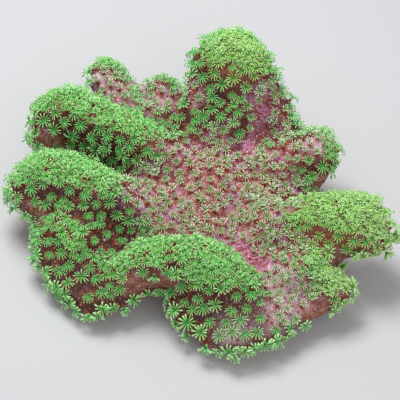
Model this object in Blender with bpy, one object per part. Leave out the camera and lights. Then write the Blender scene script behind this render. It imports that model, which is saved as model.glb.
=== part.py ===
"""A lobophytum leather coral: one fleshy colony, split at its main forks and cut flat under its stalk.

The scene is in metres with +Z up. The origin is the centre of the flat cut that the colony rests on, and the
front of the colony faces -Y. The outer surface is that of the colony with its polyps open.
"""

import math

import bmesh
import bpy
from mathutils import Matrix, Vector

MM = 0.001

# Each ridge is a thick fold of flesh: x, y, z of its middle and its half thickness in mm, from end to end.
RIDGES = {
    "tall crown": [(2, 36.5, 33.5, 9), (5, 36.5, 37, 10.5), (10.5, 35.5, 37, 10.5), (14, 32.5, 33.5, 9.5)],
    "tall right flank": [(13.5, 33, 33, 8.5), (18, 30.5, 28, 7), (22.5, 27.5, 24, 6), (23.5, 25.5, 20, 5.5)],
    "tall left flank": [(0.5, 33, 31, 8.5), (-1.5, 28.5, 25.5, 7.5), (-4, 23.5, 20, 6.5)],
    "tall face": [(9.5, 31, 30, 8), (8, 26.5, 26, 9), (7.5, 23.5, 22.5, 8)],
    "tall side bump": [(25, 31, 24, 4), (26, 28, 21, 3.5)],
    "right back knob": [(17, 12, 17, 6), (28, 14, 20, 6.5), (34.5, 14.5, 22, 8), (33.5, 11, 18, 6.5)],
    "right finger": [(16.5, -10, 16, 6), (27.5, -12.5, 20, 7.5), (41, -14, 21, 9.5), (47, -15.5, 20, 9)],
    "right finger top": [(38, -10.5, 22, 7), (45.5, -10, 22.5, 7)],
    "right finger face": [(25, -13.5, 15, 6), (34, -13.5, 14, 7)],
    "lower right tongue": [(23, -31, 11, 5.5), (32.5, -31, 11.5, 6), (39.5, -31, 11, 5)],
    "lower right lip": [(27.5, -34, 9, 5), (32.5, -35, 8.5, 5)],
    "small fold": [(20.5, -23.5, 15, 4.5), (26, -28, 18, 5), (31, -27, 17.5, 4.5)],
    "apron rim": [(-7.5, -35, 9, 5), (-4, -39, 7.5, 5), (1.5, -43.5, 7, 5.5), (8.5, -45, 7, 5.5),
                  (16, -42.5, 7.5, 5.5), (23.5, -38, 8, 5.5)],
    "apron middle": [(-2, -33.5, 12, 7), (8.5, -37, 11, 8), (18, -35.5, 11, 7)],
    "front fold": [(-32, -32.5, 7, 5), (-29, -29.5, 9.5, 5.5), (-25, -27.5, 14, 6), (-18.5, -25, 18, 6.5),
                   (-10.5, -25.5, 20.5, 6.5), (-3.5, -26.5, 21, 7), (4, -29.5, 20, 7.5),
                   (9, -33.5, 16.5, 7.5), (12.5, -36, 11, 6)],
    "front fold face": [(-5, -27, 17, 6.5), (1.5, -31, 15, 7), (7, -34, 12, 7)],
    "lower left rim": [(-48.5, -14.5, 11, 5), (-46.5, -19, 9, 5), (-43.5, -25, 7.5, 5), (-39.5, -30, 7, 5),
                       (-32, -32.5, 7, 5), (-25.5, -31.5, 7.5, 4.5), (-20, -28.5, 10, 4.5),
                       (-16.5, -26.5, 13, 4.5)],
    "lower left crest": [(-46, -11.5, 14, 5), (-43, -12, 16.5, 5.5), (-38, -13.5, 15.5, 5.5),
                         (-32.5, -14, 12, 5.5)],
    "lower left face": [(-39.5, -18, 11, 7), (-35, -22.5, 8.5, 6)],
    "left crest": [(-52.5, 3.5, 17, 9), (-46, 3.5, 21.5, 9), (-38, 1, 22, 8.5), (-30.5, -2, 20.5, 8),
                   (-22.5, -4, 16.5, 6.5)],
    "left face": [(-48, 3, 14, 7), (-41, -1, 15.5, 8), (-33, -4, 14, 7)],
    "left tip": [(-52, 4, 15, 7.5), (-53, 0.5, 12, 5.5)],
    "upper left crest": [(-48.5, 30, 20, 8), (-42.5, 28.5, 23.5, 8), (-34.5, 24, 24.5, 8),
                         (-25, 19.5, 23.5, 7.5), (-16, 15.5, 21.5, 6.5), (-7.5, 14, 18, 6)],
    "upper left face": [(-47, 28, 15, 7), (-39, 26, 17.5, 7.5), (-29.5, 21, 17, 7), (-20.5, 17, 16, 6)],
    "upper left tip": [(-49.5, 28, 18, 7), (-52.5, 26, 14, 5)],
    "back left knob": [(-32.5, 47, 19, 7.5), (-27.5, 40, 16.5, 6), (-21, 32, 15, 6)],
    "small back knob": [(-14, 42, 20.5, 5), (-12, 38, 16.5, 5), (-10, 28, 15, 5.5)],
    "back rim": [(-28, 46, 14, 5.5), (-21.5, 43.5, 13, 4.5), (-13.5, 40.5, 14, 5.5), (-3.5, 37.5, 16, 6)],
    "middle swelling": [(-0.5, 9, 16, 7), (5.5, 5.5, 15.5, 7)],
    "left swelling": [(-17.5, -0.5, 13, 7), (-12.5, -6, 12, 7)],
    "right swelling": [(15, 3, 13.5, 6), (18, -0.5, 13, 6)],
}

# Flat cushions of flesh between the ridges, in mm: their middle, their half sizes, and their tilt in degrees.
CUSHIONS = {
    "middle": ((2.5, 7.5, 12.5), (33, 26, 7.5), 12),
    "front": ((-3.5, -8.5, 9.5), (34, 20, 6.5), 6),
    "right": ((18.5, -11, 10), (20, 20, 7), 0),
    "back": ((-3.5, 29, 14), (29, 14, 7), 8),
    "upper left": ((-35.5, 19.5, 8.5), (20, 13, 5.5), 3),
    "lower left": ((-38.5, -4.5, 8), (16, 14, 5.5), 0),
    "right back": ((23.5, 8.5, 10), (10, 12, 7), 0),
    "lower right": ((31.5, -15.5, 8.5), (10.5, 10, 6), 0),
    "front left": ((-28.5, -18.5, 7.5), (10, 11, 5), 0),
    "apron": ((9, -37, 7), (15, 8, 5), 0),
}

# The stalk is an oval cone in mm. It goes on below the cut at height 0, so that the cut is flat.
STALK_FOOT = (25, 18.5)
STALK_HEAD = (33, 24.5)
STALK_BOTTOM = -5
STALK_TOP = 12

# The colony's forks, in mm in plan: where two lobes part at the cap, and where their valley meets the margin.
FORKS = [
    ("tall_back_lobe", (-7, 19), (-9, 58)),
    ("right_back_lobe", (15, 14.5), (46, 36)),
    ("right_lobe", (22, 1), (66, 1)),
    ("lower_right_lobe", (19, -18), (66, -29)),
    ("front_lobe", (11, -25), (38, -56)),
    ("lower_left_lobe", (-16, -18), (-17, -56)),
    ("left_lobe", (-25, -10), (-68, -5)),
    ("upper_left_lobe", (-21, 7), (-68, 21)),
    ("back_left_lobe", (-22, 22), (-56, 48)),
    ("small_back_lobe", (-14, 25), (-21, 58)),
]
CAP_FLOOR = 9  # the cap begins this far above the cut
GAP = 0.3  # left between neighbouring solids
ABOVE_LOBES = 60  # the cutters' upper ends
BELOW_LOBES = -10  # the cutters' lower ends
STALK_MARGIN = 1.5  # how far the stalk's cutter stands outside the stalk

# How the flesh is grown over the ridges and cushions, in mm.
BALL_SPACING = 2.2
VOXEL = 1.2
WEB = 1.5  # how far the flesh fills the corners between the folds
LUMP_SIZE = 13
LUMP_HEIGHT = 1.6
RIPPLE_SIZE = 5
RIPPLE_HEIGHT = 0.7

BALL_DETAIL = 2
CUSHION_DETAIL = 4
STALK_SIDES = 64
FLESH_ROUNDS = 3  # smoothing rounds at each stage of the growth
WEB_ROUNDS = 4
SKIN_ROUNDS = 6
LUMP_ROUNDS = 2
COLONY_TRIANGLES = 5700  # in the whole colony before it is split

LOBE_GREEN = (0.16, 0.42, 0.12, 1.0)
CAP_PINK = (0.42, 0.27, 0.27, 1.0)
STALK_BROWN = (0.36, 0.22, 0.2, 1.0)
FLESH_ROUGHNESS = 0.55


def clear_scene():
    for old in list(bpy.data.objects):
        bpy.data.objects.remove(old)


def smooth_path(points):
    """Points about BALL_SPACING apart on a smooth curve through the given ones, with their thickness."""
    points = [Vector(point) for point in points]
    first = 2 * points[0] - points[1]
    last = 2 * points[-1] - points[-2]
    padded = [first, *points, last]
    path = []
    for a, b, c, d in zip(padded, padded[1:], padded[2:], padded[3:]):
        steps = max(2, round((c - b).to_3d().length / BALL_SPACING))
        for step in range(steps):
            t = step / steps
            curve = 2 * b + (c - a) * t + (2 * a - 5 * b + 4 * c - d) * t**2 + (3 * b - a - 3 * c + d) * t**3
            path.append(0.5 * curve)
    path.append(points[-1])
    return path


def add_ridge(flesh, points):
    for x, y, z, thickness in smooth_path(points):
        place = Matrix.Translation(Vector((x, y, z)) * MM)
        bmesh.ops.create_icosphere(flesh, subdivisions=BALL_DETAIL, radius=thickness * MM, matrix=place)


def add_cushion(flesh, middle, half_sizes, tilt):
    place = Matrix.Translation(Vector(middle) * MM)
    turn = Matrix.Rotation(math.radians(tilt), 4, "X")
    stretch = Matrix.Diagonal((*(size * MM for size in half_sizes), 1))
    bmesh.ops.create_icosphere(flesh, subdivisions=CUSHION_DETAIL, radius=1, matrix=place @ turn @ stretch)


def add_oval_cone(mesh, foot, head, bottom, top):
    """An oval cone from height bottom to height top, all in mm."""
    place = Matrix.Translation((0, 0, (bottom + top) / 2 * MM))
    stretch = Matrix.Diagonal((1, foot[1] / foot[0], 1, 1))
    bmesh.ops.create_cone(
        mesh, cap_ends=True, segments=STALK_SIDES, radius1=foot[0] * MM, radius2=head[0] * MM,
        depth=(top - bottom) * MM, matrix=place @ stretch,
    )


def new_object(name, mesh):
    data = bpy.data.meshes.new(name)
    mesh.to_mesh(data)
    mesh.free()
    made = bpy.data.objects.new(name, data)
    bpy.context.scene.collection.objects.link(made)
    return made


def hide(helper):
    helper.hide_render = True
    helper.display_type = "WIRE"


def add_voxels(target):
    remesh = target.modifiers.new("voxels", "REMESH")
    remesh.mode = "VOXEL"
    remesh.voxel_size = VOXEL * MM


def add_smoothing(target, rounds):
    smooth = target.modifiers.new("smooth", "SMOOTH")
    smooth.factor = 0.5
    smooth.iterations = rounds


def add_offset(target, distance):
    """Moves the surface out by this many mm."""
    displace = target.modifiers.new("offset", "DISPLACE")
    displace.mid_level = 0
    displace.strength = distance * MM


def add_lumps(target, name, size, height):
    """Uneven growth: soft lumps of about this size and height, in mm."""
    noise = bpy.data.textures.new(name, "CLOUDS")
    noise.noise_scale = size * MM
    noise.noise_depth = 1
    displace = target.modifiers.new(name, "DISPLACE")
    displace.texture = noise
    displace.texture_coords = "LOCAL"
    displace.mid_level = 0.5
    displace.strength = height * MM


def grown_colony():
    """The whole colony as one closed skin, as a helper that the nodes are cut from."""
    flesh = bmesh.new()
    for points in RIDGES.values():
        add_ridge(flesh, points)
    for cushion in CUSHIONS.values():
        add_cushion(flesh, *cushion)
    add_oval_cone(flesh, STALK_FOOT, STALK_HEAD, STALK_BOTTOM, STALK_TOP)
    colony = new_object("colony", flesh)
    add_voxels(colony)
    add_smoothing(colony, FLESH_ROUNDS)
    add_offset(colony, WEB)
    add_voxels(colony)
    add_smoothing(colony, WEB_ROUNDS)
    add_offset(colony, -WEB)
    add_voxels(colony)
    add_smoothing(colony, SKIN_ROUNDS)
    add_lumps(colony, "lumps", LUMP_SIZE, LUMP_HEIGHT)
    add_lumps(colony, "ripples", RIPPLE_SIZE, RIPPLE_HEIGHT)
    add_smoothing(colony, LUMP_ROUNDS)
    hide(colony)
    return colony


def finished_copy(name, source):
    """A new object with the source's mesh as its modifiers leave it."""
    graph = bpy.context.evaluated_depsgraph_get()
    data = bpy.data.meshes.new_from_object(source.evaluated_get(graph), depsgraph=graph)
    data.name = name
    copy = bpy.data.objects.new(name, data)
    bpy.context.scene.collection.objects.link(copy)
    return copy


def simplified(colony):
    """The colony's skin with few enough faces for solids, as a second helper."""
    skin = finished_copy("skin", colony)
    skin.data.calc_loop_triangles()
    fewer = skin.modifiers.new("fewer", "DECIMATE")
    fewer.ratio = COLONY_TRIANGLES / len(skin.data.loop_triangles)
    hide(skin)
    return skin


def inset_outline(corners, distance):
    """The outline, counterclockwise, with each side moved inwards by this many mm."""
    moved = []
    for before, corner, after in zip(corners[-1:] + corners[:-1], corners, corners[1:] + corners[:1]):
        into = (corner - before).normalized()
        out = (after - corner).normalized()
        half_turn = (into + out).normalized()
        inwards = Vector((-half_turn.y, half_turn.x))
        lean = inwards.dot(Vector((-out.y, out.x)))
        moved.append(corner + inwards * distance / lean)
    return moved


def add_prism(name, corners):
    """A cutter that is taller than the colony, with this outline, counterclockwise in mm."""
    prism = bmesh.new()
    outline = inset_outline([Vector(corner) for corner in corners], GAP / 2)
    floor = [prism.verts.new((x * MM, y * MM, BELOW_LOBES * MM)) for x, y in outline]
    face = prism.faces.new(floor)
    raised = bmesh.ops.extrude_face_region(prism, geom=[face])["geom"]
    upper = [item for item in raised if isinstance(item, bmesh.types.BMVert)]
    bmesh.ops.translate(prism, verts=upper, vec=(0, 0, (ABOVE_LOBES - BELOW_LOBES) * MM))
    bmesh.ops.recalc_face_normals(prism, faces=prism.faces)
    cutter = new_object(name, prism)
    hide(cutter)
    return cutter


def stalk_widths(height, margin):
    """The stalk's half widths at this height, with a margin outside it, in mm."""
    share = (height - STALK_BOTTOM) / (STALK_TOP - STALK_BOTTOM)
    return [foot + (head - foot) * share + margin for foot, head in zip(STALK_FOOT, STALK_HEAD)]


def add_stalk_cutter(name, bottom, top, margin):
    """A cutter around the stalk between two heights, this far outside it, in mm."""
    cone = bmesh.new()
    add_oval_cone(cone, stalk_widths(bottom, margin), stalk_widths(top, margin), bottom, top)
    cutter = new_object(name, cone)
    hide(cutter)
    return cutter


def add_boolean(target, cutter, operation):
    cut = target.modifiers.new(cutter.name, "BOOLEAN")
    cut.object = cutter
    cut.operation = operation


def flesh_material(name, colour):
    material = bpy.data.materials.new(name)
    material.use_nodes = True
    shader = material.node_tree.nodes["Principled BSDF"]
    shader.inputs["Base Color"].default_value = colour
    shader.inputs["Roughness"].default_value = FLESH_ROUGHNESS
    return material


def add_node(name, skin, cutter, colour):
    """One solid of the coral: the part of the skin inside its cutter."""
    node = finished_copy(name, skin)
    node.data.materials.clear()
    node.data.materials.append(flesh_material(name, colour))
    node.data.shade_smooth()
    add_boolean(node, cutter, "INTERSECT")
    return node


def build_coral():
    clear_scene()
    skin = simplified(grown_colony())
    stalk_cutter = add_stalk_cutter("stalk_cutter", 0, CAP_FLOOR - GAP / 2, STALK_MARGIN)
    stalk_clearance = add_stalk_cutter(
        "stalk_clearance", BELOW_LOBES, CAP_FLOOR + GAP / 2, STALK_MARGIN + GAP)
    add_node("stalk", skin, stalk_cutter, STALK_BROWN)

    ring = [inner for _, inner, _ in reversed(FORKS)]
    cap = add_node("cap", skin, add_prism("cap_cutter", ring), CAP_PINK)
    add_boolean(cap, stalk_clearance, "DIFFERENCE")

    for fork, following in zip(FORKS, FORKS[1:] + FORKS[:1]):
        name, inner, outer = fork
        _, next_inner, next_outer = following
        corners = [inner, next_inner, next_outer, outer]
        lobe = add_node(name, skin, add_prism(f"{name}_cutter", corners), LOBE_GREEN)
        add_boolean(lobe, stalk_clearance, "DIFFERENCE")


build_coral()
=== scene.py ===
"""A lobophytum leather coral: bare flesh with many-armed green polyps on it, in a plain pale studio.

The frame is in metres. The colony rests on its flat cut at height 0, and its front faces -Y. Sizes and
places of flesh and polyps are written in mm, and MM turns them into metres.
"""

import math

import bmesh
import bpy
import numpy as np
from mathutils import Matrix, Vector
from mathutils.bvhtree import BVHTree
from mathutils.kdtree import KDTree


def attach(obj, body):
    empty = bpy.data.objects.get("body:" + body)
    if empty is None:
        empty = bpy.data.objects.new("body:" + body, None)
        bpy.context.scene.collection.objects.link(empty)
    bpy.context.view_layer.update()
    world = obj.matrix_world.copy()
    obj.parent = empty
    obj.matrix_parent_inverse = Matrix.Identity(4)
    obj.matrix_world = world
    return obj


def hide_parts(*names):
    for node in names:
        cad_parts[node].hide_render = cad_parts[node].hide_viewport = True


MM = 0.001

# How the flesh is made from the solids, in mm.
SAME_CORNER = 0.001  # corners nearer than this are joined
GAP_CLOSING = 0.3  # the solids swell by this, so that they meet across their gaps
FLESH_VOXEL = 0.7
FLESH_SMOOTHING = 9  # rounds
BARE_DEPTH = 0.45  # how far bare flesh lies inside the swollen solids
CUT_HEIGHTS = (1.3, 0.3)  # where the flesh starts to swell towards the cut, and where it has swollen
CUT_SWELL = 0.5
WRINKLE_SIZE = 2.6
WRINKLE_HEIGHT = 0.5
PIMPLE_SIZE = 0.9
PIMPLE_HEIGHT = 0.28

# Soft upright folds round the stalk and the underside.
FOLDS = 34
FOLD_HEIGHT = 0.7
FOLD_WANDER = 1.3  # how far the folds stray sideways, in radians
FOLD_WAVES = ((3, 0.09, 1), (7, -0.2, 0.7))  # waves round the stalk, slant in radians for each mm, and share

# Rounds of smoothing over the flesh.
RELIEF_ROUNDS = 240  # for the worn shape that tells a crest from a valley
NORMAL_ROUNDS = 6
LAND_ROUNDS = 5
DEPTH_ROUNDS = 4

# Bare spots on the upper side: x, y and z of the middle and the radius, in mm, as in the lists after it.
BARE_SPOTS = [
    # the pink band right of the front fold
    (9, -20, 16, 4), (12, -23.5, 17, 4), (14, -27.5, 20, 3.5), (17, -26, 17.5, 3),
    # the purple valley right of the tall lobe
    (18, 23, 28, 3.5), (16, 20, 23, 3.5), (13, 15, 21, 3),
    # the saddle between the two back knobs, and under the right back knob
    (-21, 45, 18, 4.5), (35, 5, 16, 3), (38, 8, 14, 3.5),
    # the lip under the lower right tongue, and the dark gap beside the small fold
    (32, -38, 10, 5), (38, -22, 14, 5),
    # under the two left lobes
    (-52, -6, 15, 4.5), (-50, 21, 17, 4),
    # under the front fold
    (-21, -32, 15, 4.5), (-16, -31, 15, 4), (-12, -31, 16, 3.5),
]
# Places where the polyps are large and well apart: the lower left lobe and the apron under the front fold.
OPEN_SPOTS = [(-35, -31, 8, 9), (4, -44, 10, 13), (20, -42, 11, 7), (-47, -22, 10, 8)]
# Yellow-green polyps on orange flesh: the two lobes at the right and the tall lobe's top.
WARM_SPOTS = [(42, -14, 25, 18), (40, -32, 15, 9), (9, 32, 44, 10)]
# The palest flesh.
PALE_SPOTS = [
    # the apron and the hollow right of the front fold
    (22, -40, 12, 8), (8, -46, 10, 6), (23, -31, 18, 6),
    # the back saddle and the knobs beside it
    (-20, 40, 19, 8), (-33, 42, 23, 5), (-28, 31, 24, 5),
    # the right back knob, the right lobe's tip and the small fold under it
    (35, 13, 29, 6), (50, -18, 25, 6), (37, -31, 17, 6),
]
PALE_SOFTNESS = 0.7
# More flesh like the basin's.
MEADOW_SPOTS = [
    # the faces of the back knobs
    (-32, 40, 21, 7), (-14, 37, 20, 5),
    # the right back knob
    (31, 12, 28, 5.5), (26, 12, 26, 6),
    # the tall lobe's sides and foot
    (18, 26, 32, 7), (20, 22, 26, 6), (-5, 28, 32, 5), (2, 16, 21, 6),
    # right of the front fold
    (18, -18, 18, 7), (26, -22, 21, 4), (21, -31, 18, 5), (26, -35, 16, 5), (23, -40, 14, 5),
]
# More flesh with the crests' small, crowded polyps.
THICKET_SPOTS = [
    # the front fold's face
    (0, -34, 23, 8), (7, -34, 23, 6.5), (-14, -27, 23, 5), (-22, -26, 22.5, 5),
    # the small fold at the lower right, the right lobe's tip and the right back knob's edge
    (37, -31, 17, 6), (31, -32, 19.5, 4), (51, -20, 24, 5), (37, 15, 28, 4), (40, 9, 26, 4),
]

# The basin in the middle and the stalk: the centre and half widths of an oval in plan, in mm.
BASIN_CENTRE = (3, 0)
BASIN_REACH = (30, 19)
STALK_CENTRE = (0, 0)
STALK_REACH = (36, 28)

# Where each kind of land starts and where it is complete. An oval counts in shares of its reach. Up is 1
# where the flesh lies level, 0 where it is upright and -1 where it faces down. Relief is how far the flesh
# stands out of its worn shape, and height is above the cut, both in mm.
STALK_OVAL = (1.15, 0.95)
STALK_HEIGHT = (10, 8)
UNDER_UP = (-0.1, -0.5)
BASIN_OVAL = (1.1, 0.8)
BASIN_UP = (0.3, 0.6)
CREST_RELIEF = (0.3, 1.1)
CREST_UP = (0.5, 0.8)
VALLEY_RELIEF = (-0.4, -2.2)
FACE_UP = (0.8, 0.45)
STEEP_UP = (0.8, 0.55)
STEEP_HEIGHT = (21, 18)  # below this, steep bare spots count as underside and take its brown, which is partly painted shade
RIM_HEIGHT = (13, 9)  # below this, steep flesh is rim
OVERHANG_UP = (0.4, 0.15)
OVERHANG_HEIGHT = (24, 18)  # below this, overhanging flesh is rim

# Polyps: the reach of their open arms, the least distance between two, and how high they stand, in mm. On
# each kind of land they differ from the plain ones, and a later kind hides an earlier one.
PLAIN_POLYP = (1.8, 2.2, 2.1)
LAND_POLYPS = {
    "crest": (1.55, 1.2, 2.2),
    "face": (2.25, 3.3, 1.8),
    "basin": (1.68, 2.35, 2.2),
    "rim": (2.6, 2.3, 1.8),
}
VALLEY_WIDENING = 0.35  # how much greater the distances are
WARM_NARROWING = 0.1
CROWDED_GAP = 2.0  # polyps with smaller gaps take their places first
GAP_SPREAD = (0.8, 1.35)  # how the distances vary
BARE_LIMITS = (0.25, 0.75)  # polyps stop at a bareness between these
LARGE = 1.95  # the least reach of large polyps
MOSTLY = 0.5  # a spot with more than this of a kind of land belongs to it
SIZE_SPREAD = 0.12
SIZE_LIMITS = (0.7, 1.1)
BARE_SHRINKING = 0.25  # how much smaller the polyps at the edge of bare flesh are
CANDIDATES = 150000
SEED = 11

# Closed polyps, in mm.
BUD_RADII = (0.3, 0.65)
BUD_GAP = 1.3
BUD_GAP_SPREAD = (1, 2)
BUD_CLEARANCE = 0.6  # from the foot of an open polyp
BUD_THINNING = {"bare": 0.9, "pale": 0.5, "face": 0.6}  # the share of them that is missing there

# How open the polyps are, from 0 to 1, and how much less on each kind of land.
OPENNESS = 0.88
OPENNESS_LOSSES = {"bare": 0.2, "basin": 0.3, "crest": 0.25, "rim": 0.25}
OPENNESS_SPREAD = 0.2
OPENNESS_STEPS = 6
VARIANTS = 4  # shapes for each kind and step

# One polyp, as shares of its reach: large ones for the faces, small ones for the crests, slender ones for
# the basin, and ones that hang from the lower edge like mops.
KINDS = {
    "large": {"disc": 0.2, "column": 0.62, "stoutness": 1.05},
    "small": {"disc": 0.22, "column": 0.85, "stoutness": 1.2},
    "basin": {"disc": 0.2, "column": 0.95, "stoutness": 0.95},
    "rim": {"disc": 0.22, "column": 0.28, "stoutness": 1.25},
}
KIND_NUMBERS = {name: number for number, name in enumerate(KINDS)}
COLUMN_SIDES = 6
COLUMN_BURIED = 0.3
FOOT_RADIUS = 0.2
MOUTH_HEIGHT = 0.03
ARMS = 12
ARM_SIDES = 3
ARM_ROOT = -0.08  # how far out an arm starts; below 0 it starts past the middle of the disc
ARM_LENGTHS = (0.74, 0.52)  # up to the bend and after it
ARM_SECTIONS = ((0.07, 0.065), (0.11, 0.1))  # half width and thickness, at the bend and at the tip
ARM_STRETCH = (0.82, 1.1)
ARM_JITTER = 0.14  # sideways, as a share of the angle between two arms
ARM_SWAY = (-17, 15)  # degrees up or down
OPEN_RISES = (18, -58)  # degrees, before and after the bend
SHUT_RISES = (78, 96)
REACH_MARKS = {"mouth": 0, "root": 0.1, "disc": 0.25, "bend": 0.5, "tip": 1}  # how far out, for the colour

# One closed polyp, as shares of its radius.
BUD_SIDES = 6
BUD_WIDTHS = (1.1, 0.75)  # at the foot and at the shoulder
BUD_LENGTH = 1.4
BUD_TIP = 0.4  # above the shoulder
BUD_SKEW = 0.15  # of the tip, sideways

# How polyps stand: how strongly they turn upwards on overhanging and on steep flesh, and how far they lean.
LIFTS = (0.6, 2.0)
LIFT_UP = (-0.1, 0.4)  # where overhanging flesh ends and steep flesh starts
RIM_LIFT = 0.1
LEAN = 0.2

# What the materials know of a place: polyps about the land they stand on, and flesh about itself.
POLYP_VALUES = ("crest", "basin", "face", "warm", "pale")
FLESH_VALUES = ("crest", "warm", "bare", "valley", "under", "pale")
FOOT_SHADE = (1.7, 0.4)  # mm from a polyp's foot, where the rust round it, partly painted shade, starts and is full
CROWD_SHADE = 0.9  # how far the flesh between crowded polyps turns dark red-brown, partly its own colour and partly painted shade
PALE_LIGHTENING = 0.8  # how much less where the flesh is pale

# Patterns on the flesh: the size of their spots in mm, and the noise values where they start and are full.
FINE = (0.55, 0.42, 0.58)
SPECKS = (0.33, 0.55, 0.7)
BLOTCHES = (1.1, 0.5, 0.6)
PATCHES = (2.2, 0.42, 0.58)
RUST = (1.3, 0.3, 0.5)
LONG_STREAKS = (6, 0.42, 0.58)
SHORT_STREAKS = (1.6, 0.4, 0.6)
GRAIN_SIZE = 0.42
GRAIN_HEIGHT = 0.2
CREST_SKIN = (0.4, 1.0)  # the values of crest between which its skin turns brown

# Where a polyp's colours start and are full, by how far out or how near the foot they are, and by its tint.
ARM_COLOUR = (0.15, 0.5)
TIP_COLOUR = (0.58, 0.84)
COLUMN_COLOUR = (0.08, 0.3)
BUD_SIDE_COLOUR = (0.0, 0.3)
ORANGE_BUDS = (0.1, 0.6)
PINK_BUDS = (0.7, 0.78)

# Roughness and shine.
FLESH_FINISH = (0.65, 0.25)
POLYP_FINISH = (0.6, 0.3)
FLOOR_FINISH = (0.8, 0.5)

# The sockets of a mix node that take and give colours.
MIX_FIRST, MIX_SECOND, MIX_RESULT = 6, 7, 2

# The studio. A lamp has its place and size in mm, and its power in watts.
LAMPS = {"top lamp": ((-80, 110, 420), 180, 1.6), "front lamp": ((150, -320, 300), 300, 0.4)}
SKY_COLOUR = (0.93, 0.96, 1, 1)
SKY_STRENGTH = 0.38
FLOOR_COLOUR = (0.62, 0.62, 0.63, 1)
FLOOR_REACH = 2  # metres

# The camera looks at the colony as the photograph does.
CAMERA_TARGET = (-2, -4, 20)
CAMERA_DISTANCE = 450
CAMERA_ELEVATION = 52
CAMERA_SENSOR = 36
CAMERA_LIMIT = 10  # metres
VIEW_WIDTH = 120  # of the picture, at the target


def fade(start, end, values):
    """0 at start and 1 at end, smoothly."""
    share = np.clip((values - start) / (end - start), 0, 1)
    return share * share * (3 - 2 * share)


def mixed(first, second, share):
    return first * (1 - share) + second * share


def new_object(name, data):
    made = bpy.data.objects.new(name, data)
    bpy.context.scene.collection.objects.link(made)
    return made


def finished_mesh(source):
    """The source's mesh as its modifiers leave it; the source is removed."""
    graph = bpy.context.evaluated_depsgraph_get()
    mesh = bpy.data.meshes.new_from_object(source.evaluated_get(graph), depsgraph=graph)
    bpy.data.objects.remove(source)
    return mesh


def add_offset(target, distance):
    offset = target.modifiers.new("offset", "DISPLACE")
    offset.mid_level = 0
    offset.strength = distance * MM


def add_ripples(target, name, size, height):
    """Soft uneven relief of about this size and height, in mm."""
    clouds = bpy.data.textures.new(name, "CLOUDS")
    clouds.noise_scale = size * MM
    clouds.noise_depth = 1
    ripples = target.modifiers.new(name, "DISPLACE")
    ripples.texture = clouds
    ripples.strength = height * MM


def colony_envelope(nodes):
    """The closed mesh that the polyps' tips reach: the solids, swollen until they meet, and smoothed."""
    joined = bmesh.new()
    for node in nodes:
        joined.from_mesh(node.data)
    bmesh.ops.remove_doubles(joined, verts=joined.verts, dist=SAME_CORNER * MM)
    mesh = bpy.data.meshes.new("envelope")
    joined.to_mesh(mesh)
    joined.free()
    envelope = new_object("envelope", mesh)
    add_offset(envelope, GAP_CLOSING)
    voxels = envelope.modifiers.new("voxels", "REMESH")
    voxels.mode = "VOXEL"
    voxels.voxel_size = FLESH_VOXEL * MM
    smooth = envelope.modifiers.new("smooth", "SMOOTH")
    smooth.iterations = FLESH_SMOOTHING
    return finished_mesh(envelope)


def vertex_vectors(mesh, what):
    values = np.empty(len(mesh.vertices) * 3)
    mesh.vertices.foreach_get(what, values)
    return values.reshape(-1, 3)


def neighbour_means(mesh, values, rounds):
    """The values, one row for each vertex, after this many rounds of mixing with the neighbours' mean."""
    pairs = np.empty(len(mesh.edges) * 2, dtype=int)
    mesh.edges.foreach_get("vertices", pairs)
    ends = np.concatenate([pairs[0::2], pairs[1::2]])
    others = np.concatenate([pairs[1::2], pairs[0::2]])
    neighbours = np.bincount(ends, minlength=len(values))
    for _ in range(rounds):
        sums = [np.bincount(ends, weights=column[others], minlength=len(values)) for column in values.T]
        values = (values + np.stack(sums, axis=1) / neighbours[:, None]) / 2
    return values


def nearness(places, spots, softness=0.3):
    """1 in the middle of the spots and 0 outside them all; a softness of 1 fades all the way."""
    nearest = np.zeros(len(places))
    for x, y, z, radius in spots:
        distance = np.linalg.norm(places - (x, y, z), axis=1)
        nearest = np.maximum(nearest, fade((1 + softness) * radius, (1 - softness) * radius, distance))
    return nearest


def oval_distance(places, centre, reach):
    return np.hypot((places[:, 0] - centre[0]) / reach[0], (places[:, 1] - centre[1]) / reach[1])


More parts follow.
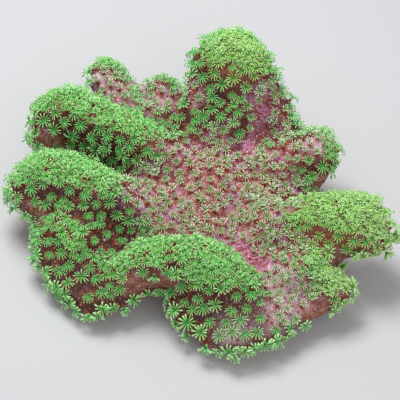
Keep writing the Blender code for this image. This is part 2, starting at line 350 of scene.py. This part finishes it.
def read_land(mesh):
    """What the envelope is at each vertex, such as crest or basin, each from 0 to 1, and the reach, gap and
    stand of its polyps in mm."""
    places = vertex_vectors(mesh, "co") / MM
    normals = neighbour_means(mesh, vertex_vectors(mesh, "normal"), NORMAL_ROUNDS)
    normals /= np.linalg.norm(normals, axis=1, keepdims=True)
    worn = neighbour_means(mesh, places, RELIEF_ROUNDS)
    relief = ((places - worn) * normals).sum(axis=1)
    height = places[:, 2]
    up = normals[:, 2]

    bare_spots = nearness(places, BARE_SPOTS)
    open_spots = nearness(places, OPEN_SPOTS)
    stalk = fade(*STALK_OVAL, oval_distance(places, STALK_CENTRE, STALK_REACH)) * fade(*STALK_HEIGHT, height)
    under = np.maximum(fade(*UNDER_UP, up), stalk)
    bowl = fade(*BASIN_OVAL, oval_distance(places, BASIN_CENTRE, BASIN_REACH)) * fade(*BASIN_UP, up)
    basin = np.maximum(bowl, nearness(places, MEADOW_SPOTS))
    ridge = fade(*CREST_RELIEF, relief) * fade(*CREST_UP, up)
    crest = np.maximum(ridge, nearness(places, THICKET_SPOTS)) * (1 - basin) * (1 - open_spots)
    steep = fade(*STEEP_UP, up)
    overhang = fade(*OVERHANG_UP, up) * fade(*OVERHANG_HEIGHT, height)
    land = {
        "crest": crest,
        "face": np.maximum(fade(*FACE_UP, up) * (1 - crest) * (1 - basin), open_spots),
        "basin": basin,
        "rim": np.maximum(overhang, steep * fade(*RIM_HEIGHT, height)) * ((1 - crest) * (1 - basin)),
        "valley": fade(*VALLEY_RELIEF, relief),
        "bare": np.maximum(bare_spots, under),
        "under": np.maximum(under, bare_spots * (steep * fade(*STEEP_HEIGHT, height))),
        "pale": nearness(places, PALE_SPOTS, PALE_SOFTNESS),
        "warm": nearness(places, WARM_SPOTS),
    }

    polyp = PLAIN_POLYP
    for name, measures in LAND_POLYPS.items():
        polyp = [mixed(*pair, land[name]) for pair in zip(polyp, measures)]
    land["reach"], land["gap"], land["stand"] = polyp
    widening = 1 + VALLEY_WIDENING * land["valley"] * (1 - basin) * (1 - land["rim"])
    land["gap"] *= widening * (1 - WARM_NARROWING * land["warm"])

    evened = neighbour_means(mesh, np.stack(list(land.values()), axis=1), LAND_ROUNDS)
    land = dict(zip(land, evened.T))
    land["places"] = places
    land["normals"] = normals
    return land


def shape_flesh(mesh, land):
    """The flesh: the envelope, sunk where polyps stand, with folds, wrinkles and pimples."""
    x, y, z = land["places"].T
    depth = mixed(land["stand"], BARE_DEPTH, land["bare"])
    depth = mixed(depth, -CUT_SWELL, fade(*CUT_HEIGHTS, z))
    around = np.arctan2(y, x)
    wander = sum(share * np.sin(waves * around + slant * z) for waves, slant, share in FOLD_WAVES)
    depth += land["under"] * FOLD_HEIGHT / 2 * (1 + np.sin(FOLDS * around + FOLD_WANDER * wander))
    depth = neighbour_means(mesh, depth[:, None], DEPTH_ROUNDS)
    sunk = (land["places"] - land["normals"] * depth) * MM
    mesh.vertices.foreach_set("co", sunk.ravel())
    mesh.update()
    flesh = new_object("sunk", mesh)
    add_ripples(flesh, "wrinkles", WRINKLE_SIZE, WRINKLE_HEIGHT)
    add_ripples(flesh, "pimples", PIMPLE_SIZE, PIMPLE_HEIGHT)
    return finished_mesh(flesh)


def spots_on(mesh, land, chance):
    """Many even-handed random spots on the mesh, with the land's values at each."""
    mesh.calc_loop_triangles()
    corners = np.empty(len(mesh.loop_triangles) * 3, dtype=int)
    mesh.loop_triangles.foreach_get("vertices", corners)
    corners = corners.reshape(-1, 3)
    places = vertex_vectors(mesh, "co")
    a, b, c = (places[corners[:, i]] for i in range(3))
    areas = np.linalg.norm(np.cross(b - a, c - a), axis=1)
    chosen = corners[chance.choice(len(corners), CANDIDATES, p=areas / areas.sum())]
    along, across = chance.random((2, CANDIDATES))
    folded = along + across > 1
    along[folded], across[folded] = 1 - along[folded], 1 - across[folded]
    shares = np.stack([1 - along - across, along, across], axis=1)
    spots = {"places": (places[chosen] * shares[:, :, None]).sum(axis=1)}
    spots["normals"] = (land["normals"][chosen] * shares[:, :, None]).sum(axis=1)
    for name in POLYP_VALUES + ("rim", "bare", "under", "reach", "gap"):
        spots[name] = (land[name][chosen] * shares).sum(axis=1)
    return spots


def picked(spots, which):
    return {name: values[which] for name, values in spots.items()}


def search_tree(places):
    tree = KDTree(len(places))
    for index, place in enumerate(places):
        tree.insert(place, index)
    tree.balance()
    return tree


def apart(spots, gaps):
    """The spots that are left when each keeps at least its own gap, in mm, from the others."""
    tree = search_tree(spots["places"])
    free = np.ones(len(gaps), dtype=bool)
    kept = []
    for index in range(len(gaps)):
        if free[index]:
            kept.append(index)
            for _, other, _ in tree.find_range(spots["places"][index], gaps[index] * MM):
                free[other] = False
    return picked(spots, kept)


def scatter_polyps(mesh, land, chance):
    """Spots for the open polyps, with none on bare flesh."""
    spots = spots_on(mesh, land, chance)
    spots = picked(spots, spots["bare"] < chance.uniform(*BARE_LIMITS, CANDIDATES))
    spots = picked(spots, np.argsort(spots["gap"] > CROWDED_GAP, kind="stable"))
    return apart(spots, spots["gap"] * chance.uniform(*GAP_SPREAD, len(spots["gap"])))


def scatter_buds(mesh, land, feet, chance):
    """Spots for the closed polyps, between the open ones and sparse on bare flesh."""
    spots = spots_on(mesh, land, chance)
    spots = picked(spots, spots["under"] < MOSTLY)
    tree = search_tree(feet)
    clear = np.array([tree.find(place)[2] for place in spots["places"]]) > BUD_CLEARANCE * MM
    missing = np.maximum.reduce([share * spots[name] for name, share in BUD_THINNING.items()])
    spots = picked(spots, clear & (chance.random(len(clear)) > missing))
    return apart(spots, BUD_GAP * chance.uniform(*BUD_GAP_SPREAD, len(spots["gap"])))


def start_shape():
    """A new bmesh, with layers for how far out each corner is and whether it belongs to the foot."""
    made = bmesh.new()
    return made, {name: made.verts.layers.float.new(name) for name in ("reach", "foot")}


def finish_shape(made, layers):
    """The corners and faces of a bmesh, and the layers' values; the bmesh is freed."""
    bmesh.ops.recalc_face_normals(made, faces=made.faces)
    made.verts.index_update()
    shape = {name: np.array([vertex[layer] for vertex in made.verts]) for name, layer in layers.items()}
    shape["corners"] = np.array([vertex.co for vertex in made.verts])
    shape["faces"] = [[vertex.index for vertex in face.verts] for face in made.faces]
    made.free()
    return shape


def highest(faces):
    return max(faces, key=lambda face: face.calc_center_median().z)


def mark_foot(vertices, layers):
    """The corners under the skin belong to the foot."""
    for vertex in vertices:
        vertex[layers["foot"]] = 1 if vertex.co.z < 0 else 0


def mark_reach(vertices, layers, part):
    for vertex in vertices:
        vertex[layers["reach"]] = REACH_MARKS[part]


def arm_station(distance, height, rise, half_width, thickness):
    """The place of an arm's cross-section: a triangle with its flat side up, square to the arm."""
    place = Matrix.Translation((distance, 0, height))
    lie = Matrix.Rotation(math.radians(90 - rise), 4, "Y") @ Matrix.Rotation(math.radians(90), 4, "Z")
    return place @ lie @ Matrix.Diagonal((half_width, thickness, 1, 1))


def add_arm(polyp, layers, kind, yaw, rises, stretch):
    """One arm, which arches from the column out to its drooping, blunt tip."""
    turn = Matrix.Rotation(yaw, 4, "Z")
    distance, height = ARM_ROOT, kind["column"]
    root_place = turn @ Vector((distance, 0, height))
    stations = []
    for length, rise, section in zip(ARM_LENGTHS, rises, ARM_SECTIONS):
        distance += length * stretch * math.cos(math.radians(rise))
        height += length * stretch * math.sin(math.radians(rise))
        sizes = (kind["stoutness"] * size for size in section)
        stations.append(turn @ arm_station(distance, height, rise, *sizes))
    bend, tip = stations
    ring = bmesh.ops.create_circle(polyp, cap_ends=True, segments=ARM_SIDES, radius=1, matrix=bend)["verts"]
    raised = bmesh.ops.extrude_face_region(polyp, geom=[ring[0].link_faces[0]])["geom"]
    end = next(item for item in raised if isinstance(item, bmesh.types.BMFace))
    bmesh.ops.transform(polyp, verts=end.verts, matrix=tip @ bend.inverted())
    mark_reach(ring, layers, "bend")
    mark_reach(end.verts, layers, "tip")
    bend_cap = next(face for face in polyp.faces if set(face.verts) == set(ring))
    root = bmesh.ops.poke(polyp, faces=[bend_cap])["verts"][0]
    root.co = root_place
    mark_reach([root], layers, "root")


def add_column(polyp, layers, kind):
    """The column that carries the disc, with the mouth in the disc's middle."""
    length = kind["column"] + COLUMN_BURIED
    middle = Matrix.Translation((0, 0, kind["column"] - length / 2))
    made = bmesh.ops.create_cone(
        polyp, cap_ends=True, segments=COLUMN_SIDES, radius1=FOOT_RADIUS, radius2=kind["disc"],
        depth=length, matrix=middle,
    )["verts"]
    mark_foot(made, layers)
    mark_reach(made, layers, "disc")
    mouth = bmesh.ops.poke(polyp, faces=[highest(polyp.faces)])["verts"][0]
    mouth.co.z += MOUTH_HEIGHT
    mark_reach([mouth], layers, "mouth")


def polyp_shape(kind, openness, chance):
    """A polyp with its arms open, from 0 to 1."""
    polyp, layers = start_shape()
    add_column(polyp, layers, kind)
    for arm in range(ARMS):
        yaw = (arm + chance.uniform(-ARM_JITTER, ARM_JITTER)) * math.tau / ARMS
        sway = chance.uniform(*ARM_SWAY)
        rises = [mixed(shut, wide, openness) + sway for shut, wide in zip(SHUT_RISES, OPEN_RISES)]
        add_arm(polyp, layers, kind, yaw, rises, chance.uniform(*ARM_STRETCH))
    return finish_shape(polyp, layers)


def bud_shape(chance):
    """A closed polyp: a knob with a blunt, lopsided top."""
    bud, layers = start_shape()
    foot, shoulder = BUD_WIDTHS
    made = bmesh.ops.create_cone(
        bud, cap_ends=True, segments=BUD_SIDES, radius1=foot, radius2=shoulder, depth=BUD_LENGTH,
    )["verts"]
    tip = bmesh.ops.poke(bud, faces=[highest(bud.faces)])["verts"][0]
    tip.co += Vector((*chance.normal(0, BUD_SKEW, 2), BUD_TIP))
    mark_foot(made, layers)
    mark_reach(made, layers, "bend")
    return finish_shape(bud, layers)


def standing(normal, lift, chance):
    """A turn that stands a polyp on its flesh, a little off square and turned by chance."""
    lean = Vector(normal).normalized() + Vector((0, 0, lift)) + Vector(chance.normal(0, LEAN, 3))
    upright = lean.to_track_quat("Z", "Y").to_matrix()
    return np.array(upright @ Matrix.Rotation(chance.uniform(0, math.tau), 3, "Z"))


def open_polyps(flesh, land, chance):
    """The open polyps: where and how each one stands, and its shape, size and tint."""
    polyps = scatter_polyps(flesh, land, chance)
    count = len(polyps["gap"])
    openness = np.full(count, OPENNESS)
    for name, loss in OPENNESS_LOSSES.items():
        openness -= loss * polyps[name]
    openness += chance.uniform(-OPENNESS_SPREAD, OPENNESS_SPREAD, count)
    steps = np.clip(openness * OPENNESS_STEPS, 0, OPENNESS_STEPS - 1).astype(int)
    kinds = np.where(polyps["reach"] < LARGE, KIND_NUMBERS["small"], KIND_NUMBERS["large"])
    for name in ("basin", "rim"):
        kinds = np.where(polyps[name] > MOSTLY, KIND_NUMBERS[name], kinds)
    polyps["shape"] = (kinds * OPENNESS_STEPS + steps) * VARIANTS + chance.integers(0, VARIANTS, count)
    sizes = np.clip(chance.normal(1, SIZE_SPREAD, count), *SIZE_LIMITS)
    polyps["size"] = polyps["reach"] * sizes * (1 - BARE_SHRINKING * polyps["bare"])
    polyps["tint"] = chance.random(count)
    polyps["bud"] = np.zeros(count)
    lifts = mixed(*LIFTS, fade(*LIFT_UP, polyps["normals"][:, 2]))
    lifts = mixed(lifts, RIM_LIFT, polyps["rim"])
    polyps["turn"] = np.array([standing(*pair, chance) for pair in zip(polyps["normals"], lifts)])
    return polyps


def closed_polyps(flesh, land, feet, chance):
    """The closed polyps, described as the open ones are."""
    buds = scatter_buds(flesh, land, feet, chance)
    count = len(buds["gap"])
    buds["shape"] = len(KINDS) * OPENNESS_STEPS * VARIANTS + chance.integers(0, VARIANTS, count)
    buds["size"] = chance.uniform(*BUD_RADII, count)
    buds["tint"] = chance.random(count)
    buds["bud"] = np.ones(count)
    buds["turn"] = np.array([standing(normal, 0, chance) for normal in buds["normals"]])
    return buds


def set_values(mesh, name, values):
    layer = mesh.attributes.new(name, "FLOAT", "POINT")
    layer.data.foreach_set("value", np.asarray(values, dtype=np.float32))


def join_polyps(name, polyps, shapes, chosen):
    """One mesh of all the chosen polyps."""
    shape_values = ("reach", "foot")
    polyp_values = ("bud", "tint") + POLYP_VALUES
    values = {key: [] for key in shape_values + polyp_values}
    corners, faces, start = [], [], 0
    for index in chosen:
        shape = shapes[polyps["shape"][index]]
        size = polyps["size"][index] * MM
        count = len(shape["corners"])
        corners.append(shape["corners"] @ polyps["turn"][index].T * size + polyps["places"][index])
        faces += [[start + corner for corner in face] for face in shape["faces"]]
        start += count
        for key in shape_values:
            values[key].append(shape[key])
        for key in polyp_values:
            values[key].append(np.full(count, polyps[key][index]))
    mesh = bpy.data.meshes.new(name)
    mesh.from_pydata(np.concatenate(corners).tolist(), [], faces)
    for key, rows in values.items():
        set_values(mesh, key, np.concatenate(rows))
    mesh.shade_smooth()
    return new_object(name, mesh)


def grow_polyps(flesh, land, nodes, material):
    """All the polyps, as one piece for each lobe that they stand on; returns the feet of the open ones."""
    chance = np.random.default_rng(SEED)
    shapes = [
        polyp_shape(kind, step / (OPENNESS_STEPS - 1), chance)
        for kind in KINDS.values()
        for step in range(OPENNESS_STEPS)
        for _ in range(VARIANTS)
    ]
    shapes += [bud_shape(chance) for _ in range(VARIANTS)]
    opened = open_polyps(flesh, land, chance)
    closed = closed_polyps(flesh, land, opened["places"], chance)
    polyps = {name: np.concatenate([opened[name], closed[name]]) for name in opened}

    graph = bpy.context.evaluated_depsgraph_get()
    trees = {name: BVHTree.FromObject(node, graph) for name, node in nodes.items()}
    homes = [
        min(trees, key=lambda name: trees[name].find_nearest(Vector(place))[3]) for place in polyps["places"]
    ]
    for name in trees:
        chosen = [index for index, home in enumerate(homes) if home == name]
        if chosen:
            piece = join_polyps(f"{name}_polyps", polyps, shapes, chosen)
            piece.data.materials.append(material)
            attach(piece, "root")
    return opened["places"]


def cut_flat(mesh):
    """Cuts the flesh off at height 0, where it rests."""
    cut = bmesh.new()
    cut.from_mesh(mesh)
    everything = cut.verts[:] + cut.edges[:] + cut.faces[:]
    bmesh.ops.bisect_plane(cut, geom=everything, plane_co=(0, 0, 0), plane_no=(0, 0, 1), clear_inner=True)
    open_edges = [edge for edge in cut.edges if edge.is_boundary]
    bmesh.ops.edgeloop_fill(cut, edges=open_edges)
    bmesh.ops.recalc_face_normals(cut, faces=cut.faces)
    cut.to_mesh(mesh)
    cut.free()


def foot_nearness(mesh, feet):
    """How near each vertex is to a polyp's foot, from 0 to 1."""
    tree = search_tree(feet)
    distances = np.array([tree.find(vertex.co)[2] for vertex in mesh.vertices]) / MM
    return fade(*FOOT_SHADE, distances)


def seen(red, green, blue):
    """A colour as it is seen on a screen, 0 to 255, in the linear values that shaders take."""
    shares = [value / 255 for value in (red, green, blue)]
    return (*(share / 12.92 if share < 0.04045 else ((share + 0.055) / 1.055) ** 2.4 for share in shares), 1)


def add_shader_node(tree, kind, inputs=None, **settings):
    """A node with its settings, and each input set to a value or joined to another node's output."""
    made = tree.nodes.new(kind)
    for name, setting in settings.items():
        setattr(made, name, setting)
    for key, value in (inputs or {}).items():
        if isinstance(value, bpy.types.NodeSocket):
            tree.links.new(value, made.inputs[key])
        else:
            made.inputs[key].default_value = value
    return made


def blend_colours(tree, first, second, share):
    """The colour between two, at this share."""
    inputs = {"Factor": share, MIX_FIRST: first, MIX_SECOND: second}
    return add_shader_node(tree, "ShaderNodeMix", inputs, data_type="RGBA").outputs[MIX_RESULT]


def layered(tree, colour, layers):
    """The colour with others laid over it in turn, each at its own share."""
    for over, share in layers:
        colour = blend_colours(tree, colour, over, share)
    return colour


def spread(tree, value, start, end):
    """0 at start and 1 at end, smoothly."""
    inputs = {"Value": value, "From Min": start, "From Max": end}
    return add_shader_node(tree, "ShaderNodeMapRange", inputs, interpolation_type="SMOOTHSTEP").outputs[0]


def times(tree, first, second):
    return add_shader_node(tree, "ShaderNodeMath", {0: first, 1: second}, operation="MULTIPLY").outputs[0]


def surface_value(tree, name):
    return add_shader_node(tree, "ShaderNodeAttribute", attribute_name=name).outputs["Fac"]


def cloud(tree, size):
    """Even noise with spots of about this size in mm."""
    place = add_shader_node(tree, "ShaderNodeTexCoord").outputs["Object"]
    inputs = {"Vector": place, "Scale": 0.5 / (size * MM)}
    return add_shader_node(tree, "ShaderNodeTexNoise", inputs).outputs["Fac"]


def pattern(tree, size, start, end):
    return spread(tree, cloud(tree, size), start, end)


def new_material(name, roughness, shine):
    material = bpy.data.materials.new(name)
    material.use_nodes = True
    shader = material.node_tree.nodes["Principled BSDF"]
    shader.inputs["Roughness"].default_value = roughness
    shader.inputs["Specular IOR Level"].default_value = shine
    return material, material.node_tree, shader


def bare_skin_material():
    """Pink skin with rusty, lavender and pale flecks. Painted shade darkens the valleys. Between crowded
    polyps the flesh is dark red-brown, and round the polyps' feet it is rusty: each is partly its own colour
    and partly painted shade. Underneath it is brown, also partly painted shade.
    """
    material, tree, shader = new_material("bare skin", *FLESH_FINISH)
    value = {name: surface_value(tree, name) for name in FLESH_VALUES + ("foot", "crowded_dark_and_shade")}
    fine, specks, blotches, patches, rust, long_streaks, short_streaks = (
        pattern(tree, *measures)
        for measures in (FINE, SPECKS, BLOTCHES, PATCHES, RUST, LONG_STREAKS, SHORT_STREAKS)
    )
    magenta = blend_colours(tree, seen(184, 92, 138), seen(216, 150, 184), fine)
    # the dark red-brown between crowded polyps: partly the flesh's own colour, partly painted shade
    dark = layered(tree, blend_colours(tree, seen(66, 28, 12), seen(52, 42, 16), patches), [
        (seen(130, 72, 36), spread(tree, value["crest"], *CREST_SKIN)),
        (seen(150, 84, 50), value["warm"]),
        (seen(140, 72, 40), times(tree, blotches, 0.55)),
        (seen(190, 150, 140), times(tree, specks, 0.5)),
    ])
    # the brown of the stalk and the underside: partly its own colour, partly painted shade
    brown = layered(tree, blend_colours(tree, seen(142, 84, 60), seen(180, 126, 108), fine), [
        (seen(112, 56, 44), times(tree, blotches, 0.6)),
        (seen(222, 182, 176), times(tree, specks, 0.7)),
    ])
    skin = layered(tree, blend_colours(tree, seen(158, 96, 80), seen(196, 138, 144), fine), [
        (seen(192, 128, 176), times(tree, long_streaks, short_streaks)),
        (magenta, value["bare"]),
        # painted shade: the valleys are darker mauve-brown
        (seen(118, 66, 62), times(tree, value["valley"], 0.7)),
        (seen(128, 46, 34), times(tree, blotches, 0.8)),
        (seen(222, 190, 200), times(tree, value["pale"], 0.7)),
        (seen(238, 210, 222), specks),
        # painted shade between crowded polyps, partly the flesh's own dark red-brown
        (dark, value["crowded_dark_and_shade"]),
        # rust round each polyp's foot: partly the flesh's own rust, partly painted shade
        (seen(140, 54, 32), times(tree, times(tree, value["foot"], rust), 0.85)),
        # brown underneath and on low steep bare flesh, partly painted shade
        (brown, value["under"]),
    ])
    tree.links.new(skin, shader.inputs["Base Color"])
    inputs = {"Distance": GRAIN_HEIGHT * MM, "Height": cloud(tree, GRAIN_SIZE)}
    grain = add_shader_node(tree, "ShaderNodeBump", inputs)
    tree.links.new(grain.outputs[0], shader.inputs["Normal"])
    return material


def bud_colour(tree, value):
    """Rust, orange or pink, with a paler top, and painted shade: darker brown on the steep faces."""
    side = layered(tree, seen(150, 64, 46), [
        (seen(190, 112, 76), spread(tree, value["tint"], *ORANGE_BUDS)),
        (seen(205, 150, 155), spread(tree, value["tint"], *PINK_BUDS)),
    ])
    return layered(tree, seen(222, 172, 140), [
        (side, spread(tree, value["reach"], *BUD_SIDE_COLOUR)),
        # painted shade: closed polyps on the steep faces are darker brown
        (seen(110, 60, 32), times(tree, value["face"], 0.6)),
    ])


def polyp_material():
    """Polyps with a green disc, arms that turn from green to pale tips, and a rusty column."""
    material, tree, shader = new_material("polyp flesh", *POLYP_FINISH)
    value = {name: surface_value(tree, name) for name in POLYP_VALUES + ("reach", "foot", "tint", "bud")}
    arm = layered(tree, seen(136, 232, 130), [
        (seen(142, 240, 122), value["crest"]),
        (seen(190, 230, 168), times(tree, value["basin"], 0.9)),
        (seen(205, 228, 190), times(tree, value["pale"], 0.6)),
        (seen(212, 242, 124), times(tree, value["warm"], 0.7)),
        (seen(190, 230, 120), times(tree, value["tint"], 0.35)),
    ])
    tip = layered(tree, seen(204, 244, 180), [
        (seen(204, 246, 180), value["crest"]),
        (seen(242, 248, 224), value["basin"]),
    ])
    disc = layered(tree, seen(130, 252, 150), [
        (seen(130, 238, 112), value["crest"]),
        (seen(160, 246, 150), value["basin"]),
    ])
    column = blend_colours(tree, seen(172, 78, 46), seen(190, 112, 56), value["crest"])
    colour = layered(tree, disc, [
        (arm, spread(tree, value["reach"], *ARM_COLOUR)),
        (tip, spread(tree, value["reach"], *TIP_COLOUR)),
        (column, spread(tree, value["foot"], *COLUMN_COLOUR)),
        (bud_colour(tree, value), value["bud"]),
    ])
    tree.links.new(colour, shader.inputs["Base Color"])
    return material


def dress_flesh(mesh, land, feet, nodes):
    """The flesh as a piece that stands for all the solids."""
    set_values(mesh, "foot", foot_nearness(mesh, feet))
    for name in FLESH_VALUES:
        set_values(mesh, name, land[name])
    # Between crowded polyps the flesh is dark red-brown, partly its own colour and partly painted shade.
    crowded_dark_and_shade = CROWD_SHADE * (1 - land["bare"]) * (1 - land["basin"]) * (1 - PALE_LIGHTENING * land["pale"])
    set_values(mesh, "crowded_dark_and_shade", crowded_dark_and_shade)
    cut_flat(mesh)
    mesh.shade_smooth()
    mesh.materials.append(bare_skin_material())
    flesh = new_object("flesh", mesh)
    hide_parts(*nodes)
    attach(flesh, "root")


def add_floor():
    grid = bmesh.new()
    bmesh.ops.create_grid(grid, x_segments=1, y_segments=1, size=FLOOR_REACH)
    mesh = bpy.data.meshes.new("floor")
    grid.to_mesh(mesh)
    grid.free()
    floor = new_object("floor", mesh)
    material, _, shader = new_material("pale floor", *FLOOR_FINISH)
    shader.inputs["Base Color"].default_value = FLOOR_COLOUR
    mesh.materials.append(material)


def add_lamp(name, place, size, power):
    """A square lamp at this place, in mm, that shines on the colony."""
    data = bpy.data.lights.new(name, "AREA")
    data.size = size * MM
    data.energy = power
    lamp = new_object(name, data)
    lamp.location = Vector(place) * MM
    aim = Vector(CAMERA_TARGET) * MM - lamp.location
    lamp.rotation_euler = aim.to_track_quat("-Z", "Y").to_euler()


def add_studio():
    add_floor()
    for name, measures in LAMPS.items():
        add_lamp(name, *measures)
    world = bpy.data.worlds.new("studio")
    bpy.context.scene.world = world
    world.use_nodes = True
    background = world.node_tree.nodes["Background"]
    background.inputs["Color"].default_value = SKY_COLOUR
    background.inputs["Strength"].default_value = SKY_STRENGTH
    bpy.context.scene.view_settings.view_transform = "Standard"


def add_camera():
    data = bpy.data.cameras.new("camera")
    data.sensor_width = CAMERA_SENSOR
    data.lens = CAMERA_SENSOR * CAMERA_DISTANCE / VIEW_WIDTH
    data.clip_end = CAMERA_LIMIT
    camera = new_object("camera", data)
    rise = math.radians(CAMERA_ELEVATION)
    back = Vector((0, -math.cos(rise), math.sin(rise)))
    camera.location = (Vector(CAMERA_TARGET) + back * CAMERA_DISTANCE) * MM
    camera.rotation_euler = (-back).to_track_quat("-Z", "Y").to_euler()
    bpy.context.scene.camera = camera


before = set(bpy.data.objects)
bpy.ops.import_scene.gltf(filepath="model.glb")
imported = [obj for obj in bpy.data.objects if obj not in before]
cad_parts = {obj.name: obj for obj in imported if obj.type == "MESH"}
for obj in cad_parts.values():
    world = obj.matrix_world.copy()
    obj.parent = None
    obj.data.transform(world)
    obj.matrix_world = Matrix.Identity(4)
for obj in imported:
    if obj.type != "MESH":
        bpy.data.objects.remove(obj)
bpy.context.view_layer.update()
add_camera()
add_studio()
envelope = colony_envelope(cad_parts.values())
land = read_land(envelope)
flesh = shape_flesh(envelope, land)
feet = grow_polyps(flesh, land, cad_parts, polyp_material())
dress_flesh(flesh, land, feet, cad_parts)
